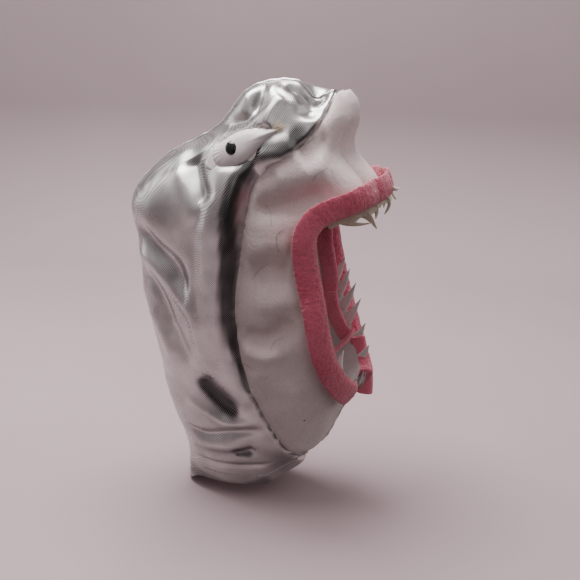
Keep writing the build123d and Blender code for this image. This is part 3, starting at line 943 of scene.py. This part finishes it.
TEETH_BAND = [(39.5, -15, 120.6), (44.5, -14, 121.8), (49.5, -12.5, 123.2), (54, -10, 125.4), (58.5, -7, 128),
              (61.5, -3, 130.5), (62.5, 0, 131)]
BAND_STEPS = 30
LIMP_RIGHT = [((45, -13.5, 120.8), (54.5, -10, 118.4), (0.3, 1, 0.3), 4.4, (0, 0, -0.4), 2.4, 0.6),
              ((51, -11, 124.2), (57.6, -8, 116.4), (0.4, 1, 0.4), 7.6, (0.8, 0.5, 1.2), 0.8),
              ((56, -8.5, 127.0), (58.4, -7, 121.0), (0.5, 1, 0.2), 5.6, (0.4, 0.5, 0.3), -0.8),
              ((60.2, -4.5, 129.6), (62.0, -3.5, 122.6), (0.9, 0.6, 0.2), 5.4, (1.3, 0, 0.4), -1.6),
              ((61.5, -1.5, 131.0), (65.0, -1, 131.0), (0.2, 1, 0.2), 2.4, (0, 0, 0.8), 1.2, 0.5)]
LIMP_LEFT = [((43, 16.5, 123.0), (47, 13, 118), (0.3, -1, 0.3), 5.4, (0, -1, 0), 1.0),
             ((48, 14, 126.2), (52, 9, 119.6), (0.4, -1, 0.3), 5.4, (1, -1, 0), -1.0),
             ((53, 11, 128.6), (56.5, 7, 121), (0.6, -1, 0.2), 5.0, (1.2, 0, 0), 1.2),
             ((57.5, 7, 130.4), (60.0, 4, 123), (0.9, -0.6, 0.1), 4.6, (0.6, 0, 0.4), -0.8),
             ((60.5, 2.0, 131.6), (63.2, 1, 126), (1, -0.2, 0.1), 4.0, (0.7, 0, 0.5), 1.2)]
band_widths = 6.2 + 1.2 * np.sin(np.arange(BAND_STEPS) * 0.9)
band = strip(curve(TEETH_BAND, BAND_STEPS), band_widths, 0.8, (0.25, 1.0, 0.2))
teeth = {}
for name, first, rows, felt in (("cheek_teeth_left", [], FAR_TEETH, TOOTH),
                                ("cheek_teeth_right", [], near_teeth, TOOTH),
                                ("upper_teeth_right", [band], LIMP_RIGHT, LIMP_TOOTH),
                                ("upper_teeth_left", [], LIMP_LEFT, LIMP_TOOTH)):
    teeth[name] = piece(name + "_felt", first + [tooth(*row) for row in rows], felt, 1)

# Outlines of the eye in its own plane: along the eye, across it
RIM_OUTLINE = np.array([(-17.1, -0.6), (-15, -4), (-10, -7), (-5, -7.9), (0, -7.1), (5, -4.8), (10.6, -1.9),
                        (17.2, 0.6), (13, 3), (7, 5.6), (1.5, 6.8), (-4, 6.5), (-9, 5.2), (-14, 2.8)])
PAD_OUTLINE = np.array([(-12.9, 0.8), (-12.2, -2.4), (-9.2, -5.3), (-4.5, -6.5), (1, -5.4), (6, -2.9),
                        (11, -0.5), (16, 1.5), (12, 3.3), (7, 5.6), (1.5, 6.8), (-4, 6.3), (-8.6, 4.9),
                        (-11.6, 3)])
PUPIL_CENTRE = (-3.7, 0.6)
PUPIL_TURN = np.linspace(0, 2 * math.pi, 16, endpoint=False)
PUPIL_OUTLINE = np.stack([2.5 * np.cos(PUPIL_TURN), 3.0 * np.sin(PUPIL_TURN)], 1) + PUPIL_CENTRE
EYE_MIDDLE = (-1.0, 0.2)
EYE_AT = (9.3, 148.2)
EYE_SLOPE = math.radians(24)


def closed_outline(points, count):
    ring = np.concatenate([points[-2:], points, points[:3]])
    return catmull(ring, np.linspace(2, 2 + len(points), count, endpoint=False))


def eye_curve(u, v):
    """How far the eye falls away from its plane to follow the head."""
    return u * u / 190 + v * v / 60


def eye_spot(u, v, height):
    """Place on the right eye, height out from its plane."""
    return EYE_ORIGIN + eye_across * u + eye_up * v + eye_out * height


def eye_piece(side, name, outline, profile, rings, spokes, material, centre=EYE_MIDDLE, shrink=1.0,
              shift=(0, 0), gather=0.0):
    """Dome over an outline: profile gives height by radius, 0 at the middle and 1 at the rim."""
    edge = (closed_outline(outline, spokes) - centre) * shrink + centre + np.array(shift)
    middle = np.array(centre) + np.array(shift)
    verts = []
    for i in range(rings + 1):
        r = (i / rings) ** 0.8
        for j, spot in enumerate(edge):
            u, v = middle + (spot - middle) * r
            pucker = gather * r ** 5 * (1 + math.cos(j * 2 * math.pi / 4.3)) * (0.4 + 0.6 * (v > 0))
            verts.append(eye_spot(u, v, profile(r) - eye_curve(u, v) - pucker))
    verts = np.array(verts) * (1, -side, 1)
    obj = new_mesh(name, verts, quads(rings + 1, spokes, closed=True, flip=side > 0), material)
    tidy_mesh(obj, 0.000004)
    round_off(obj, 1)
    return obj


def eye_threads(side):
    """Frayed tuft at the eye's front corner, and stitches over its upper edge."""
    rng = random.Random(7 + side)
    flip = np.array((1, -side, 1))
    threads = []
    for k in range(26):
        u0, v0 = 14.3 + rng.uniform(-1.4, 1.8), 1.4 + rng.uniform(-0.9, 0.9)
        a = rng.uniform(0.3, 1.7)
        reach = rng.uniform(1.6, 5.0)
        path = []
        for t in np.linspace(0, 1, 6):
            way = a + 1.2 * t * (k % 3 - 1)
            u, v = u0 + reach * t * math.cos(way), v0 + reach * t * math.sin(way)
            h = 1.6 + 1.3 * math.sin(math.pi * min(t, 0.8)) * rng.uniform(0.6, 1.0) - eye_curve(u, v)
            path.append(eye_spot(u, v, h) * flip)
        threads.append(tube(path, np.linspace(0.13, 0.06, 6), (0.2, 1.0, 0.3), 5))
    for k in range(9):
        u0 = -11 + 2.7 * k
        v0 = float(np.interp(u0, [-16, -9.4, -0.3, 8.7, 17], [1, 6.2, 7.3, 4.7, 0.8]))
        path = []
        for t, rise in ((0, 1.6), (0.3, 2.5), (0.7, 2.0), (1, 0.2)):
            u, v = u0 + 0.5 * t, v0 - 0.9 + 1.9 * t
            path.append(eye_spot(u, v, rise - eye_curve(u, v)) * flip)
        threads.append(tube(path, 0.14, (0.2, 1.0, 0.3), 5))
    return threads


eye_out = unit(np.array([-0.10, -0.90, 0.42]))
eye_across = np.array([math.cos(EYE_SLOPE), 0.0, math.sin(EYE_SLOPE)])
eye_across = unit(eye_across - eye_out * (eye_across @ eye_out))
eye_up = np.cross(eye_out, eye_across)
eye_up *= np.sign(eye_up[2])
EYE_ORIGIN = right_cloth(*EYE_AT) + eye_out * 1.2

rim_height = lambda r: 1.0 + 0.5 * r ** 3 - 3.4 * smooth(0.94, 1.0, r)
pad_height = lambda r: 1.3 + 2.6 * (1 - r ** 2.6) ** 0.6 - 0.9 * smooth(0.95, 1.0, r)
pupil_height = lambda r: 3.35 + 1.1 * (1 - r ** 2.2) ** 0.55
eyes = {}
for side, word in SIDES:
    rim, pad, pupil, tack = ("eye_%s_%s" % (part, word) for part in ("backing", "pad", "pupil", "tack"))
    eyes[rim] = eye_piece(side, rim + "_felt", RIM_OUTLINE, rim_height, 16, 90, RIM_FELT)
    eyes[pad] = eye_piece(side, pad + "_satin", PAD_OUTLINE, pad_height, 20, 90, SATIN,
                          shrink=0.985, shift=(0.1, 0.2), gather=0.3)
    eyes[pupil] = eye_piece(side, pupil + "_gloss", PUPIL_OUTLINE, pupil_height, 8, 40, PUPIL, PUPIL_CENTRE)
    eyes[tack] = piece(tack + "_threads", eye_threads(side), TAN_THREAD)


def hair(points, radius=0.05):
    """Stray hair lying on the right side, through side-view points."""
    spots = [right_cloth(x, z) for x, z in curve(points, 12)]
    return tube([spot + (0, -0.16, 0.03) for spot in spots], radius, (0, -1, 0.1), 4)


FINE_HAIR, CRUMB = 0.04, 0.22
UPPER_HAIRS = [([(13, 99), (15, 102), (19, 105)],), ([(24, 111), (23, 117), (26, 120)],),
               ([(36, 138), (38, 141), (41, 142.5)],), ([(18, 128), (20, 125), (21, 121)], FINE_HAIR),
               ([(30, 150), (33, 151), (36, 153.5)], FINE_HAIR),
               ([(12.5, 115), (14.5, 113), (16, 114)], FINE_HAIR)]
LOWER_HAIRS = [([(9, 64), (11, 63.5), (13, 62)],), ([(16, 60), (18, 59), (19.5, 59.5)], FINE_HAIR),
               ([(20, 71), (22, 74), (25, 75)], FINE_HAIR),
               ([(32.0, 38.2), (32.3, 38.4), (32.6, 38.3)], CRUMB)]
upper_hairs = piece("lint_upper", [hair(*row) for row in UPPER_HAIRS], DARK_HAIR)
lower_hairs = piece("lint_lower", [hair(*row) for row in LOWER_HAIRS], DARK_HAIR)


# ---- light, sheet and camera

OPENING = tuple(Vector((0.60, -0.79, -0.04)).normalized())  # towards the dark side of the room


def soft_world():
    """Light tent: bright overhead, dimmer low down, with a dark opening in front where the viewer stands."""
    world = bpy.data.worlds.new("studio")
    bpy.context.scene.world = world
    world.use_nodes = True
    g = world.node_tree
    way = add(g, "TexCoord", {}).outputs["Generated"]
    aim = add(g, "VectorMath", {0: way, 1: OPENING}, operation="DOT_PRODUCT").outputs["Value"]
    opening = ramp(g, aim, (0.0, 1), (0.66, 0.85), (0.82, 0.06), (1.0, 0.01))
    height = add(g, "SeparateXYZ", {0: way}).outputs["Z"]
    tent = ramp(g, height, (0.0, (0.32, 0.26, 0.265)), (0.25, (0.33, 0.28, 0.285)),
                (0.55, (0.50, 0.44, 0.45)), (0.9, (0.90, 0.84, 0.84)))
    feed(g, g.nodes["Background"], {"Color": mixed(g, tent, opening, kind="MULTIPLY"), "Strength": 1.0})


def aimed(name, data, place, aim):
    """Object at a place, looking towards aim."""
    obj = bpy.data.objects.new(name, data)
    bpy.context.scene.collection.objects.link(obj)
    obj.location = place
    obj.rotation_euler = (Vector(aim) - Vector(place)).to_track_quat("-Z", "Y").to_euler()
    return obj


def lamp(name, place, aim, size, power, colour=(1, 0.98, 0.97)):
    light = bpy.data.lights.new(name, "AREA")
    light.shape = "RECTANGLE"
    light.size, light.size_y = size
    light.energy = power
    light.color = colour
    return aimed(name, light, place, aim)


def floor_and_wall():
    """Light box: a pale sheet that runs along the floor and curves up behind the puppet."""
    profile = [(-0.62, 0.0)] + [(-0.1 + 0.05 * k, 0.0) for k in range(9)]
    turn = np.linspace(0.1, math.pi / 2, 14)
    profile += [(0.30 + 0.10 * math.sin(a), 0.10 - 0.10 * math.cos(a)) for a in turn]
    profile += [(0.40, 0.2 + 0.1 * k) for k in range(8)]
    verts = [(x * 1000 + HEM_TO_MIDDLE, y * 1000, z * 1000) for x in (-0.9, 0.9) for y, z in profile]
    mat = plain_material("light_box_sheet", 6, (0.33, 0.252, 0.266), (0.357, 0.274, 0.288), 0.8)
    sheet = new_mesh("light_box", verts, quads(2, len(profile)), mat)
    sheet.location.z = -0.0004
    sheet.visible_diffuse = False
    return sheet


def dark_card():
    """Bent dark card to the right and in front of the puppet, seen only in reflections."""
    verts = [(20, -330, 8), (120, -250, 8), (158, 60, 8), (158, 60, 190), (120, -250, 190), (20, -330, 190)]
    mat = plain_material("dark_card", 20, 0.004, 0.012, 0.9)
    card = new_mesh("dark_card", verts, [(0, 1, 4, 5), (1, 2, 3, 4)], mat)
    for rays in ("camera", "diffuse", "transmission", "shadow"):
        setattr(card, "visible_" + rays, False)
    return card


def camera():
    cam = bpy.data.cameras.new("camera")
    cam.lens = 66.7
    cam.sensor_width = 36
    cam.clip_start = 0.01
    bpy.context.scene.camera = aimed("camera", cam, (0.0982, -0.4073, 0.2225), (0.01143, 0.00089, 0.0869))


soft_world()
middle = (0, 0, 0.1)
floor_and_wall()
dark_card()
lamp("top_panel", (-0.11, 0.09, 0.60), (0, 0, 0.05), (0.42, 0.36), 7.8)
lamp("key_panel", (0.236, -0.36, 0.354), (0.03, -0.02, 0.14), (0.22, 0.22), 0.24, (1, 0.95, 0.94))
lamp("left_panel", (-0.65, 0.10, 0.32), middle, (0.4, 0.5), 1.0)
lamp("right_panel", (0.65, 0.12, 0.32), middle, (0.4, 0.5), 0.8)
camera()

# ---- what each piece stands for, and how it moves

BODIES = frame["record"]["behaviour"]["bodies"]


def replace_all(obj, *starts):
    """Hides every CAD node whose name begins with one of starts; obj is not used."""
    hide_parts(*[n for body in BODIES.values() for n in body if n.startswith(starts)])


replace_all(silver, "back_panel", "crown_panel", "hem_facing", "sleeve_padding")
replace_all(silver_ridge, "back_seam", "crown_seam")
replace_all(chin_ridge, "chin_seam")
replace_all(upper, "cheek_panel", "muzzle_panel", "muzzle_seam", "snout_padding")
replace_all(lower, "chin_panel", "chin_padding")
replace_all(upper_lining, "sleeve_lining", "snout_lining")
replace_all(lower_lining, "chin_lining")
replace_all(hem_stitches, "hem_stitches")
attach(hem_stitches, "sleeve")
for side, word in SIDES:
    replace_all(bindings["upper_" + word], "cheek_binding_" + word, "lip_binding_" + word)
    replace_all(bindings["lower_" + word], "chin_binding_" + word)
    replace_all(mouth_stitches["lip", side], "cheek_stitches_" + word, "lip_stitches_" + word)
    replace_all(mouth_stitches["chin", side], "chin_stitches_" + word)
    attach(teeth["upper_teeth_" + word], "snout")
for node, obj in {**teeth, **eyes}.items():
    replace_all(obj, node)
for obj in eyes.values():
    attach(obj, "snout")

turns_with_snout = [silver, silver_ridge, upper, upper_lining, upper_hairs]
turns_with_chin = [lower, lower_lining, chin_ridge, lower_hairs, far_pleat]
for side, word in SIDES:
    turns_with_snout += [bindings["upper_" + word], mouth_stitches["lip", side]]
    turns_with_chin += [bindings["lower_" + word], mouth_stitches["chin", side], teeth["cheek_teeth_" + word]]
for obj in turns_with_snout:
    bend(obj)
for obj in turns_with_chin:
    bend(obj)
